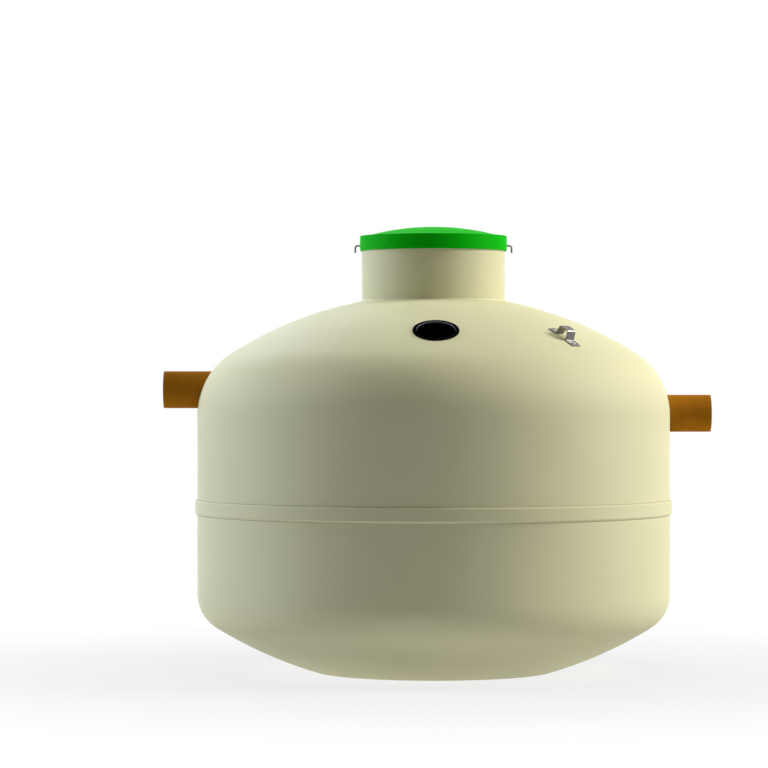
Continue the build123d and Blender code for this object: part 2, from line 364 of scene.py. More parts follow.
def reshade(obj, runs, holes):
    """Gives a cut piece back the true normals of its profile, and those of its round holes."""
    mesh = obj.data
    totals = read_all(mesh.polygons, "loop_total", int)
    face_normal = np.repeat(read_all(mesh.polygons, "normal", width=3), totals, axis=0)
    point = read_all(mesh.vertices, "co", width=3)[read_all(mesh.loops, "vertex_index", int)]
    away = np.hypot(point[:, 0], point[:, 1])
    outward = point[:, :2] / np.maximum(away, TINY)[:, None]
    result = face_normal.copy()
    best = np.full(len(point), PROFILE_REACH)
    for run in runs:
        for (r0, z0, a0, b0), (r1, z1, a1, b1) in zip(run["points"], run["points"][1:]):
            along = np.array([r1 - r0, z1 - z0])
            span = float(along @ along)
            share = np.clip(((away - r0) * along[0] + (point[:, 2] - z0) * along[1]) / span, 0, 1)
            gap = np.hypot(away - r0 - share * along[0], point[:, 2] - z0 - share * along[1])
            radial, up = a0 + share * (a1 - a0), b0 + share * (b1 - b0)
            normal = np.stack([outward[:, 0] * radial, outward[:, 1] * radial, up], axis=1)
            normal /= np.hypot(radial, up)[:, None]
            alike = np.einsum("ij,ij->i", normal, face_normal) > ALIKE
            found = alike & (gap < best)
            result[found] = normal[found]
            best[found] = gap[found]
    for centre, axis, radius in holes:
        centre, axis = np.array(centre), np.array(axis)
        offset = point - centre
        offset = offset - np.outer(offset @ axis, axis)
        size = np.linalg.norm(offset, axis=1)
        inward = -offset / np.maximum(size, TINY)[:, None]
        alike = np.einsum("ij,ij->i", inward, face_normal) > ALIKE
        found = alike & (abs(size - radius) < HOLE_REACH)
        result[found] = inward[found]
    mesh.polygons.foreach_set("use_smooth", [True] * len(mesh.polygons))
    mesh.normals_split_custom_set(result.tolist())
    mesh.update()


def sweep(name, path, section, materials, side):
    """Carries a closed section along a path of points. side is the section's own Y direction."""
    coords, faces = [], []
    count = len(section)
    side = Vector(side)
    for i, here in enumerate(path):
        before, after = path[max(i - 1, 0)], path[min(i + 1, len(path) - 1)]
        way_in = (Vector(here) - Vector(before)).normalized()
        way_out = (Vector(after) - Vector(here)).normalized()
        way = (way_in + way_out).normalized()
        across = side.cross(way).normalized()
        stretch = 1.0
        if 0 < i < len(path) - 1:
            stretch = 1.0 / max(way.dot(way_out), MITRE_LIMIT)
        coords.extend(Vector(here) + across * x * stretch + side * y for x, y in section)
    for i in range(len(path) - 1):
        for j in range(count):
            k = (j + 1) % count
            faces.append((i * count + j, i * count + k, (i + 1) * count + k, (i + 1) * count + j))
    faces.append(tuple(reversed(range(count))))
    faces.append(tuple(range((len(path) - 1) * count, len(path) * count)))
    return finish_mesh(name, coords, faces, None, [0] * len(faces), materials)


def bent_path(corners, radii, steps=8):
    """A path in a plane with each inner corner rounded to its own radius.

    A point a little before and after each bend keeps the straight runs flat when their edges are rounded.
    """
    points = [Vector(corners[0])]
    margin = 0.0004
    for before, here, after, radius in zip(corners, corners[1:], corners[2:], radii):
        here = Vector(here)
        back, on = (Vector(before) - here).normalized(), (Vector(after) - here).normalized()
        half = back.angle(on) / 2
        reach = radius / tan(half)
        centre = here + (back + on).normalized() * (radius / sin(half))
        start, end = here + back * reach - centre, here + on * reach - centre
        turn = start.angle(end)
        points.append(here + back * (reach + margin))
        for i in range(steps + 1):
            share = i / steps
            spoke = start * sin((1 - share) * turn) + end * sin(share * turn)
            points.append(centre + spoke / sin(turn))
        points.append(here + on * (reach + margin))
    points.append(Vector(corners[-1]))
    return points


def bevel(obj, width, segments, angle):
    """Rounds the edges of a piece that are sharper than an angle."""
    modifier = obj.modifiers.new("edges", "BEVEL")
    modifier.width = width
    modifier.segments = segments
    modifier.limit_method = "ANGLE"
    modifier.angle_limit = angle
    modifier.harden_normals = True
    apply_modifiers(obj)
    obj.data.polygons.foreach_set("use_smooth", [True] * len(obj.data.polygons))


def settle(obj, body, slot, *nodes):
    """Puts a piece on its body and hides the construction nodes that it stands for. Its slot, the finish's
    name, is not used.
    """
    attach(obj, body)
    if nodes:
        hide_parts(*nodes)


def roof_place(distance, bearing):
    """Place on the roof's outer face: Z outwards, X downhill."""
    slope = asin(distance / ROOF_CROWN)
    height = ROOF_CENTRE + ROOF_CROWN * cos(slope)
    lean = Matrix.Rotation(slope, 4, "Y")
    return Matrix.Rotation(bearing, 4, "Z") @ Matrix.Translation((distance, 0, height)) @ lean


# Finishes

class Finish:
    """A material in the making: its nodes and the shader that they feed."""

    def __init__(self, name):
        self.material = bpy.data.materials.get(name) or bpy.data.materials.new(name)
        self.material.use_nodes = True
        tree = self.material.node_tree
        tree.nodes.clear()
        self.nodes, self.link = tree.nodes, tree.links.new
        self.shader = self.nodes.new("ShaderNodeBsdfPrincipled")
        self.output = self.nodes.new("ShaderNodeOutputMaterial")
        self.link(self.shader.outputs["BSDF"], self.output.inputs["Surface"])
        self.relief = None

    def coordinates(self, scale=(1.0, 1.0, 1.0)):
        """Coordinates in metres on the piece, stretched by a scale."""
        source = self.nodes.new("ShaderNodeTexCoord")
        mapping = self.nodes.new("ShaderNodeMapping")
        mapping.inputs["Scale"].default_value = scale
        self.link(source.outputs["Object"], mapping.inputs["Vector"])
        return mapping.outputs["Vector"]

    def noise(self, vector, scale, detail=2.0, roughness=0.5):
        """A noise pattern over the piece."""
        node = self.nodes.new("ShaderNodeTexNoise")
        node.inputs["Scale"].default_value = scale
        node.inputs["Detail"].default_value = detail
        node.inputs["Roughness"].default_value = roughness
        self.link(vector, node.inputs["Vector"])
        return node.outputs["Fac"]

    def cells(self, vector, scale, feature="F1"):
        """A pattern of cells over the piece."""
        node = self.nodes.new("ShaderNodeTexVoronoi")
        node.feature = feature
        node.inputs["Scale"].default_value = scale
        self.link(vector, node.inputs["Vector"])
        return node.outputs

    def tint(self, pattern, colour, change):
        """Lightens and darkens the colour by a pattern."""
        ramp = self.nodes.new("ShaderNodeValToRGB")
        dark, light = ramp.color_ramp.elements
        dark.position, light.position = PATTERN_LOW, PATTERN_HIGH
        dark.color = [c * (1 - change) for c in colour[:3]] + [1.0]
        light.color = [min(c * (1 + change), 1.0) for c in colour[:3]] + [1.0]
        self.link(pattern, ramp.inputs["Fac"])
        self.link(ramp.outputs["Color"], self.shader.inputs["Base Color"])

    def dull(self, pattern, low, high):
        """Spreads the roughness between two values by a pattern."""
        node = self.nodes.new("ShaderNodeMapRange")
        ends = {"From Min": PATTERN_LOW, "From Max": PATTERN_HIGH, "To Min": low, "To Max": high}
        for name, value in ends.items():
            node.inputs[name].default_value = value
        self.link(pattern, node.inputs["Value"])
        self.link(node.outputs["Result"], self.shader.inputs["Roughness"])

    def raise_by(self, pattern, depth, strength):
        """Adds a relief of a depth in metres, on top of an earlier one."""
        node = self.nodes.new("ShaderNodeBump")
        node.inputs["Distance"].default_value = depth
        node.inputs["Strength"].default_value = strength
        self.link(pattern, node.inputs["Height"])
        if self.relief:
            self.link(self.relief, node.inputs["Normal"])
        self.relief = node.outputs["Normal"]
        self.link(self.relief, self.shader.inputs["Normal"])

    def set(self, socket, value):
        """Sets a constant on the shader's own socket."""
        self.shader.inputs[socket].default_value = value


def gel_coat(name, colour, roughness, gloss):
    """Moulded gel coat: faint clouding, slow waves of the laminate and a fine orange peel."""
    finish = Finish(name)
    where = finish.coordinates()
    finish.tint(finish.noise(where, 2.2, 3.0), colour, 0.02)
    finish.dull(finish.noise(where, 7.0, 4.0), roughness - 0.03, roughness + 0.04)
    wave = finish.noise(finish.coordinates((1.0, 1.0, 0.45)), 5.0, 1.0)
    peel = finish.noise(where, 260.0, 1.0)
    finish.raise_by(wave, 0.0012, 0.35)
    finish.raise_by(peel, 0.00012, 0.25)
    finish.set("Specular IOR Level", gloss)
    return finish.material


def laminate(name, colour):
    """The raw side of the laminate: chopped glass strands in resin."""
    finish = Finish(name)
    mat = finish.cells(finish.coordinates((1.0, 1.0, 2.6)), 55.0, "DISTANCE_TO_EDGE")
    strands = finish.noise(finish.coordinates(), 90.0, 6.0, 0.7)
    finish.tint(strands, colour, 0.18)
    finish.raise_by(mat["Distance"], 0.0018, 0.5)
    finish.raise_by(strands, 0.0010, 0.6)
    finish.dull(strands, 0.34, 0.6)
    return finish.material


def pipe_plastic(name, colour):
    """Extruded sewer pipe: fine lines along its length and a dull gloss."""
    finish = Finish(name)
    lines = finish.noise(finish.coordinates((0.6, 160.0, 160.0)), 1.0, 2.0)
    cloud = finish.noise(finish.coordinates(), 18.0, 3.0)
    finish.tint(cloud, colour, 0.06)
    finish.dull(cloud, 0.54, 0.64)
    finish.raise_by(lines, 0.00035, 0.3)
    finish.set("Specular IOR Level", 0.01)
    return finish.material


def seal_rubber(name, colour, roughness, gloss):
    """Moulded rubber with a fine skin and a faint bloom."""
    finish = Finish(name)
    where = finish.coordinates()
    skin = finish.noise(where, 900.0, 3.0, 0.6)
    bloom = finish.noise(where, 28.0, 4.0)
    finish.tint(bloom, colour, 0.25)
    finish.dull(bloom, roughness - 0.05, roughness + 0.09)
    finish.raise_by(skin, 0.0001, 0.5)
    finish.set("Specular IOR Level", gloss)
    return finish.material


def plated_steel(name, colour, roughness, grain):
    """Zinc-coated steel: a soft spangle and fine brushing."""
    finish = Finish(name)
    flakes = finish.cells(finish.coordinates(), grain)
    tone = finish.nodes.new("ShaderNodeSeparateColor")
    finish.link(flakes["Color"], tone.inputs["Color"])
    finish.tint(tone.outputs["Red"], colour, 0.12)
    finish.dull(tone.outputs["Green"], roughness - 0.06, roughness + 0.1)
    scratch = finish.noise(finish.coordinates((900.0, 900.0, 120.0)), 1.0, 3.0)
    finish.raise_by(scratch, 0.00006, 0.5)
    finish.set("Metallic", 1.0)
    return finish.material


def resin_bead(name, colour):
    """Hand-laid sealing bead, lumpy and duller than the gel coat."""
    finish = Finish(name)
    lump = finish.noise(finish.coordinates(), 60.0, 3.0)
    finish.tint(lump, colour, 0.07)
    finish.set("Roughness", 0.6)
    finish.raise_by(lump, 0.0008, 0.5)
    return finish.material


# What a user may change

def colour_property(name, text, default):
    """A colour that shows in the sidebar."""
    return FloatVectorProperty(
        name=name, description=text, subtype="COLOR", size=3, min=0.0, max=1.0, default=default
    )


def length_property(name, text, default, low=0.0):
    """A length that shows in the sidebar."""
    return FloatProperty(name=name, description=text, unit="LENGTH", default=default, min=low)


def power_property(name, default):
    """A lamp's power that shows in the sidebar."""
    return FloatProperty(name=name, description="Power in watts", unit="POWER", default=default, min=0.0)


class TankFinishSettings(bpy.types.PropertyGroup):
    """Colours of the mouldings and fittings."""

    gel_colour: colour_property("Gel coat", "Cream gel coat of the mouldings and neck", (0.80, 0.785, 0.51))
    lid_colour: colour_property("Cover", "Green gel coat of the cover", (0.002, 0.51, 0.004))
    inner_colour: colour_property("Inner laminate", "Raw laminate inside the tank", (0.42, 0.43, 0.30))
    pipe_colour: colour_property("Pipes", "Orange-brown sewer pipe", (0.42, 0.162, 0.010))
    rubber_colour: colour_property("Rubber", "Ring seal and gasket", (0.004, 0.004, 0.005))
    steel_colour: colour_property("Lug steel", "Zinc-coated lifting lugs", (0.17, 0.165, 0.156))
    rod_colour: colour_property("Rod steel", "Locking rods", (0.16, 0.16, 0.13))
    gloss_roughness: FloatProperty(
        name="Gel coat roughness", description="How dull the gel coat is", default=0.5, min=0.05, max=0.9
    )


class TankDetailSettings(bpy.types.PropertyGroup):
    """Small sizes of the mouldings and fittings."""

    turns: IntProperty(name="Steps round", description="Facets round the mouldings", default=288, min=48)
    foot_edge: length_property("Foot edge", "Rounding between the dished base and its foot", 0.040, 0.001)
    rim_edge: length_property("Rim edge", "Rounding of sawn and moulded rims", 0.0015, 0.0002)
    bead_size: length_property("Neck bead", "Leg of the resin bead round the neck", 0.007, 0.001)
    # The belt bead is the darker resin line at the belt's edges; its darkness is painted shade
    belt_shade_bead: length_property("Belt bead", "Leg of the resin line at the belt's edges", 0.0026, 0.0005)
    lid_crease: length_property("Cover crease", "Rounding between the cover's crown and rim", 0.030, 0.001)
    bolt_radius: length_property("Bolt head", "Radius of the heads in the lugs' feet", 0.0065, 0.002)


class TankStageSettings(bpy.types.PropertyGroup):
    """Light, floor and background."""

    floor_radius: length_property("Floor radius", "Size of the floor", 60.0)
    shadow_radius: length_property("Shadow reach", "How far out the floor shows its shading", 3.2)
    right_power: power_property("Right light", 1235.0)
    left_power: power_property("Left light", 945.0)
    back_power: power_property("Back light", 400.0)
    top_power: power_property("Top light", 500.0)
    light_distance: length_property("Light distance", "How far each light is from the tank", 12.0)
    light_size: length_property("Light size", "Side of each soft box", 5.0)
    ambient: FloatProperty(name="Ambient", description="Even light from all round", default=0.01, min=0.0)
    floor_glow: FloatProperty(
        name="Floor glow", description="Light that the floor gives off", default=0.243, min=0.0
    )


def settings():
    """The colours, sizes and stage of this scene."""
    scene = bpy.context.scene
    return scene.tank_finish, scene.tank_detail, scene.tank_stage


def gel_materials():
    """Gel coat outside and raw laminate inside."""
    look = settings()[0]
    outside = gel_coat("cream_gel_coat", look.gel_colour, look.gloss_roughness, GEL_GLOSS)
    return [outside, laminate("raw_laminate", look.inner_colour)]


# Mouldings

class TankUpperMoulding(bpy.types.Operator):
    """Builds the upper moulding in one skin, cut for the neck, the pipes and the ring seal"""

    bl_idname = "oil_separator.upper_moulding"
    bl_label = "Upper moulding"

    def execute(self, context):
        detail = settings()[1]
        low, skin_radius = JOINT_HEIGHT, TANK_RADIUS - SHELL
        knuckle_centre, crown_centre = (ROOF_RING, SHOULDER), (0.0, ROOF_CENTRE)
        tilt = pi / 2 - ROOF_LEAN
        hole = NECK_RADIUS + SEAT_GAP
        outer_end = acos(hole / ROOF_CROWN)
        inner_end = acos(hole / (ROOF_CROWN - SHELL))
        outer_edge = (hole, ROOF_CENTRE + ROOF_CROWN * sin(outer_end))
        inner_edge = (hole, ROOF_CENTRE + (ROOF_CROWN - SHELL) * sin(inner_end))
        runs = [
            straight((TANK_RADIUS, low), (TANK_RADIUS, SHOULDER)),
            arc(knuckle_centre, ROOF_KNUCKLE, 0.0, tilt, 32),
            arc(crown_centre, ROOF_CROWN, tilt, outer_end, 32),
            straight(outer_edge, inner_edge, 1),
            arc(crown_centre, ROOF_CROWN - SHELL, inner_end, tilt, 20, 1),
            arc(knuckle_centre, ROOF_KNUCKLE - SHELL, tilt, 0.0, 20, 1),
            straight((skin_radius, SHOULDER), (skin_radius, low), 1),
            straight((skin_radius, low), (TANK_RADIUS, low), 1),
        ]
        obj = lathe("upper_moulding", runs, detail.turns, gel_materials())
        pipe_hole = PIPE_RADIUS + SEAT_GAP
        vent_hole = VENT_SLEEVE + SEAT_GAP
        vent = roof_place(VENT_DISTANCE, VENT_BEARING)
        heights = {-1: (INLET_LOW.z + INLET_HIGH.z) / 2, 1: (OUTLET_LOW.z + OUTLET_HIGH.z) / 2}
        cutters = [
            cutter(pipe_hole, TANK_RADIUS, Matrix.Translation((side * TANK_RADIUS, 0, z)) @ ALONG_X)
            for side, z in heights.items()
        ]
        cutters.append(cutter(vent_hole, 8 * SHELL, vent))
        cut_away(obj, cutters)
        holes = [((0, 0, z), (1, 0, 0), pipe_hole) for z in heights.values()]
        holes.append((vent.translation, vent.to_3x3() @ Vector((0, 0, 1)), vent_hole))
        reshade(obj, runs, holes)
        settle(obj, "tank", "tank_laminate", "domed_roof", *[f"upper_wall_{side}" for side in WALL_SIDES])
        return {"FINISHED"}


class TankLowerMoulding(bpy.types.Operator):
    """Builds the lower moulding: wall, knuckle, dished base and flat foot in one skin"""

    bl_idname = "oil_separator.lower_moulding"
    bl_label = "Lower moulding"

    def execute(self, context):
        detail = settings()[1]
        skin_radius = TANK_RADIUS - SHELL
        knuckle_centre, crown_centre = (BASE_RING, WALL_BOTTOM), (0.0, BASE_CENTRE)
        tilt = BASE_LEAN - pi / 2
        slope = asin(FOOT_RADIUS / BASE_CROWN)
        edge_reach = detail.foot_edge * tan(slope / 2)
        start = asin((FOOT_RADIUS + edge_reach * cos(slope)) / BASE_CROWN) - pi / 2
        flat_end = FOOT_RADIUS - edge_reach
        inner_crown = BASE_CROWN - SHELL
        inner_foot = asin((BASE_CENTRE - SHELL) / inner_crown)
        inner_edge = (inner_crown * cos(inner_foot), SHELL)
        start_point = (BASE_CROWN * cos(start), BASE_CENTRE + BASE_CROWN * sin(start))
        edge_centre = (flat_end, detail.foot_edge)
        runs = [
            straight((0.0, 0.0), (flat_end, 0.0)),
            arc(edge_centre, detail.foot_edge, -pi / 2, -pi / 2 + slope, 8),
            arc(crown_centre, BASE_CROWN, start, tilt, 32),
            arc(knuckle_centre, BASE_KNUCKLE, tilt, 0.0, 28),
            straight((TANK_RADIUS, WALL_BOTTOM), (TANK_RADIUS, JOINT_HEIGHT)),
            straight((TANK_RADIUS, JOINT_HEIGHT), (skin_radius, JOINT_HEIGHT), 1),
            straight((skin_radius, JOINT_HEIGHT), (skin_radius, WALL_BOTTOM), 1),
            arc(knuckle_centre, BASE_KNUCKLE - SHELL, 0.0, tilt, 16, 1),
            arc(crown_centre, inner_crown, tilt, -inner_foot, 20, 1),
            straight(inner_edge, (0.0, SHELL), 1),
        ]
        last = runs[1]["points"][-1]
        runs[2]["points"][0] = (last[0], last[1], *runs[2]["points"][0][2:])
        if hypot(last[0] - start_point[0], last[1] - start_point[1]) > 0.001:
            raise RuntimeError("the foot's edge doesn't meet the dished base")
        obj = lathe("lower_moulding", runs, detail.turns, gel_materials())
        settle(obj, "tank", "tank_laminate", "dished_base", *[f"lower_wall_{side}" for side in WALL_SIDES])
        return {"FINISHED"}


class TankJointBelt(bpy.types.Operator):
    """Builds the belt that wraps the joint of the two mouldings, and the resin line at each of its edges,
    darkened as painted shade
    """

    bl_idname = "oil_separator.joint_belt"
    bl_label = "Joint belt"

    def execute(self, context):
        look, detail = settings()[:2]
        inner, outer = TANK_RADIUS + SEAT_GAP, BELT_HIGH.x - SKIN_GAP
        low, high = BELT_LOW.z, BELT_HIGH.z
        corners = [
            (inner, low, 0),
            (outer - BELT_LOWER_CHAMFER, low, 0.002),
            (outer, low + BELT_LOWER_CHAMFER, 0.003),
            (outer, high - BELT_UPPER_CHAMFER, 0.003),
            (outer - BELT_UPPER_CHAMFER, high, 0.002),
            (inner, high, 0),
        ]
        belt = lathe("joint_belt_skin", rounded(corners), detail.turns, gel_materials()[:1])
        settle(belt, "tank", "tank_laminate", "joint_belt")
        leg, skin = detail.belt_shade_bead, TANK_RADIUS + SKIN_GAP
        # The beads are the gel coat darkened: painted shade along the belt's edges
        material = resin_bead("belt_resin", [BELT_SHADE_TONE * c for c in look.gel_colour])
        for name, edge, way in (("lower", low, -1), ("upper", high, 1)):
            corners = [
                (skin, edge + way * leg, 0),
                (skin, edge - way * BEAD_ROOT, 0),
                (TANK_RADIUS + leg, edge - way * BEAD_ROOT, 0),
                (TANK_RADIUS + leg, edge + way * BEAD_LAP, 0.3 * leg),
            ]
            bead = lathe(f"{name}_belt_bead", rounded(corners[::-way]), detail.turns, [material])
            settle(bead, "tank", "tank_laminate")
        return {"FINISHED"}


class TankNeck(bpy.types.Operator):
    """Builds the neck with its sawn rim, and the resin bead that bonds it to the roof"""

    bl_idname = "oil_separator.neck"
    bl_label = "Neck"

    def execute(self, context):
        look, detail = settings()[:2]
        inner = NECK_RADIUS - NECK_WALL
        wall = tube_wall(inner, NECK_RADIUS, NECK_LOW.z, NECK_HIGH.z, detail.rim_edge)
        for run in wall:
            if middle_of(run)[2] < -ALIKE:
                run["finish"] = 1
        neck = lathe("neck_collar", wall, NECK_STEPS, gel_materials())
        settle(neck, "tank", "tank_laminate", "neck")
        slope = asin(NECK_RADIUS / ROOF_CROWN)
        foot = ROOF_CENTRE + ROOF_CROWN * cos(slope)
        leg = detail.bead_size
        out_r = NECK_RADIUS + leg
        out_z = ROOF_CENTRE + sqrt(ROOF_CROWN**2 - out_r**2)
        hollow = (NECK_RADIUS + 0.32 * leg, foot + 0.20 * leg)
        corners = [
            (NECK_RADIUS + SKIN_GAP, foot - 0.002, 0),
            (out_r, out_z - 0.0006, 0),
            (out_r, out_z + 0.0002, 0),
            (*hollow, 0.6 * leg),
            (NECK_RADIUS + SKIN_GAP, foot + leg, 0),
        ]
        resin = resin_bead("bead_resin", look.gel_colour)
        bead = lathe("neck_bead", rounded(corners), NECK_STEPS, [resin])
        settle(bead, "tank", "tank_laminate")
        return {"FINISHED"}


# Cover and its rods

class TankCover(bpy.types.Operator):
    """Builds the crowned cover with its sloping rim, skirt and rod holes"""

    bl_idname = "oil_separator.cover"
    bl_label = "Cover"

    def execute(self, context):
        look, detail = settings()[:2]
        low = LID_LOW.z
        inner = LID_RADIUS - LID_WALL
        edge_inner = GASKET_HIGH.z + SEAT_GAP
        edge_top = edge_inner + LID_WALL
        crown_edge = LID_RADIUS - LID_RIM_WIDTH
        centre_z = edge_top + LID_RIM_RISE - sqrt(LID_CROWN**2 - crown_edge**2)
        crease = detail.lid_crease
        crown_tilt = asin(crown_edge / LID_CROWN)
        rim_tilt = atan2(LID_RIM_RISE, LID_RIM_WIDTH)
        reach = crease * tan((crown_tilt - rim_tilt) / 2)
        crown_end = asin((crown_edge - reach * cos(crown_tilt)) / LID_CROWN)
        crown_point = (LID_CROWN * sin(crown_end), centre_z + LID_CROWN * cos(crown_end))
        rim_start = (crown_edge + reach * cos(rim_tilt), edge_top + LID_RIM_RISE - reach * sin(rim_tilt))
        lip = LID_RADIUS - COVER_LIP_INSET
        middle = (inner + lip) / 2
        outside = rounded([
            (middle, low, 0),
            (lip, low, 0.0010),
            (LID_RADIUS, low + COVER_LIP_HEIGHT, 0.004),
            (LID_RADIUS, edge_top, 0.004),
            (*rim_start, 0),
        ], closed=False)
        crown = arc((0.0, centre_z), LID_CROWN, pi / 2 - crown_end, pi / 2, 28)
        # One flat facet whose normals turn from the rim's to the crown's, which shows as a soft crease
        blend = straight(rim_start, crown_point)
        start_normal, end_normal = outside[-1]["points"][-1][2:], crown["points"][0][2:]
        blend["points"] = [(*rim_start, *start_normal), (*crown_point, *end_normal)]
        under = arc((0.0, centre_z), LID_CROWN - LID_WALL, pi / 2, pi / 2 - crown_tilt, 16, 1)
        inside = rounded([
            (*under["points"][-1][:2], 0),
            (inner, edge_inner, 0.002),
            (inner, low, 0.0010),
            (middle, low, 0),
        ], 1, closed=False)
        runs = [*outside, blend, crown, under, *inside]
        inner_look = laminate("cover_laminate", [COVER_LAMINATE_TONE * c for c in look.lid_colour])
        roughness = look.gloss_roughness + COVER_DULLER
        outer_look = gel_coat("green_gel_coat", look.lid_colour, roughness, COVER_GLOSS)
        obj = lathe("cover", runs, NECK_STEPS, [outer_look, inner_look])
        places = [Matrix.Translation((side * LID_RADIUS, 0, PIN_AXIS_HEIGHT)) for side in (-1, 1)]
        cutters = [cutter(PIN_HOLE, 0.03, place @ ALONG_X, PIN_HOLE_STEPS) for place in places]
        cut_away(obj, cutters)
        reshade(obj, runs, [((0, 0, PIN_AXIS_HEIGHT), (1, 0, 0), PIN_HOLE)])
        settle(obj, "lid", "lid_laminate", "lid")
        return {"FINISHED"}


class TankCoverGasket(bpy.types.Operator):
    """Builds the ribbed rubber ring under the cover"""

    bl_idname = "oil_separator.cover_gasket"
    bl_label = "Cover gasket"

    def execute(self, context):
        look = settings()[0]
        outer, low, high = GASKET_HIGH.x, GASKET_LOW.z, GASKET_HIGH.z
        inner, middle = outer - GASKET_WIDTH, (low + high) / 2
        corners = [
            (inner, low, GASKET_ROUNDING),
            (outer, low, GASKET_ROUNDING),
            (outer, middle - 0.001, 0.0005),
            (outer - 0.0012, middle, 0.0005),
            (outer, middle + 0.001, 0.0005),
            (outer, high, GASKET_ROUNDING),
            (inner, high, GASKET_ROUNDING),
        ]
        material = seal_rubber("gasket_rubber", look.rubber_colour, 0.5, 0.4)
        gasket = lathe("cover_gasket", rounded(corners, steps=4), SEAL_STEPS, [material])
        settle(gasket, "lid", "gasket_rubber", "lid_gasket")
        return {"FINISHED"}


class TankLockingRods(bpy.types.Operator):
    """Builds the two bent rods through the cover's skirt"""

    bl_idname = "oil_separator.locking_rods"
    bl_label = "Locking rods"

    def execute(self, context):
        material = plated_steel("rod_steel", settings()[0].rod_colour, 0.34, 420.0)
        turns = [2 * pi * i / ROD_STEPS for i in range(ROD_STEPS)]
        section = [(PIN_RADIUS * cos(a), PIN_RADIUS * sin(a)) for a in turns]
        for side, node in ((-1, "locking_pin_left"), (1, "locking_pin_right")):
            low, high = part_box(node)
            tip, leg = (low.x, high.x - PIN_RADIUS) if side > 0 else (high.x, low.x + PIN_RADIUS)
            corners = [(tip, 0, PIN_AXIS_HEIGHT), (leg, 0, PIN_AXIS_HEIGHT), (leg, 0, low.z)]
            rod = sweep(f"{node}_rod", bent_path(corners, [PIN_BEND], 12), section, [material], (0, 1, 0))
            bevel(rod, ROD_EDGE, 2, radians(60))
            settle(rod, node, "pin_steel", node)
        return {"FINISHED"}


# Pipes and seal

class TankPipes(bpy.types.Operator):
    """Builds the inlet and outlet stubs with their sawn, broken edges"""

    bl_idname = "oil_separator.pipes"
    bl_label = "Pipe stubs"

    def execute(self, context):
        look, detail = settings()[:2]
        material = pipe_plastic("orange_pipe_plastic", look.pipe_colour)
        for node in ("inlet_pipe", "outlet_pipe"):
            low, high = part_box(node)
            wall = tube_wall(PIPE_RADIUS - PIPE_WALL, PIPE_RADIUS, low.x, high.x, 0.7 * detail.rim_edge)
            lie = Matrix.Translation((0, 0, (low.z + high.z) / 2)) @ ALONG_X
            stub = lathe(f"{node}_stub", wall, PIPE_STEPS, [material], lie)
            settle(stub, "tank", "pipe_plastic", node)
        return {"FINISHED"}


class TankRingSeal(bpy.types.Operator):
    """Builds the rubber ring that grips the edge of the roof's hole"""

    bl_idname = "oil_separator.ring_seal"
    bl_label = "Ring seal"

    def execute(self, context):
        look = settings()[0]

        def skin(radius, r):
            return sqrt(radius**2 - r**2) - ROOF_CROWN

        above, below = ROOF_CROWN + SEAT_GAP, ROOF_CROWN - SHELL - SEAT_GAP
        corners = [
            (VENT_BORE, -VENT_DROP, 0.001),
            (VENT_INNER_FLANGE, -VENT_DROP, 0.003),
            (VENT_INNER_FLANGE, skin(below, VENT_INNER_FLANGE), 0.0004),
            (VENT_SLEEVE, skin(below, VENT_SLEEVE), 0.0004),
            (VENT_SLEEVE, skin(above, VENT_SLEEVE), 0.0004),
            (VENT_FLANGE, skin(above, VENT_FLANGE), 0.0003),
            (VENT_FLANGE - 0.0004, VENT_RISE * 0.55, 0.0014),
            (VENT_FLANGE - 0.0050, VENT_RISE * 0.92, 0.002),
            (VENT_BORE + SEAL_LIP + 0.0014, VENT_RISE * 0.70, 0.0006),
            (VENT_BORE + SEAL_LIP + 0.0006, VENT_RISE, 0.0004),
            (VENT_BORE + 0.0012, VENT_RISE, 0.0008),
            (VENT_BORE, VENT_RISE - SEAL_LIP, 0.0008),
        ]
        runs = rounded(corners, steps=9)
        # The lip's inner side is glossier, and its pale colour is a painted highlight
        for run in runs:
            radius, height = middle_of(run)[:2]
            if radius < VENT_BORE + 0.0010 and height > VENT_RISE - SEAL_LIP - 0.0005:
                run["finish"] = 1
        body = seal_rubber("seal_rubber", look.rubber_colour, 0.6, 0.0)
        lip_highlight = seal_rubber("worn_rubber", [LIP_HIGHLIGHT_TONE * c for c in look.rubber_colour], 0.22, 1.0)
        place = roof_place(VENT_DISTANCE, VENT_BEARING)
        ring = lathe("ring_seal", runs, SEAL_STEPS, [body, lip_highlight], place)
        settle(ring, "tank", "seal_rubber", "vent_seal")
        return {"FINISHED"}


# Lifting lugs

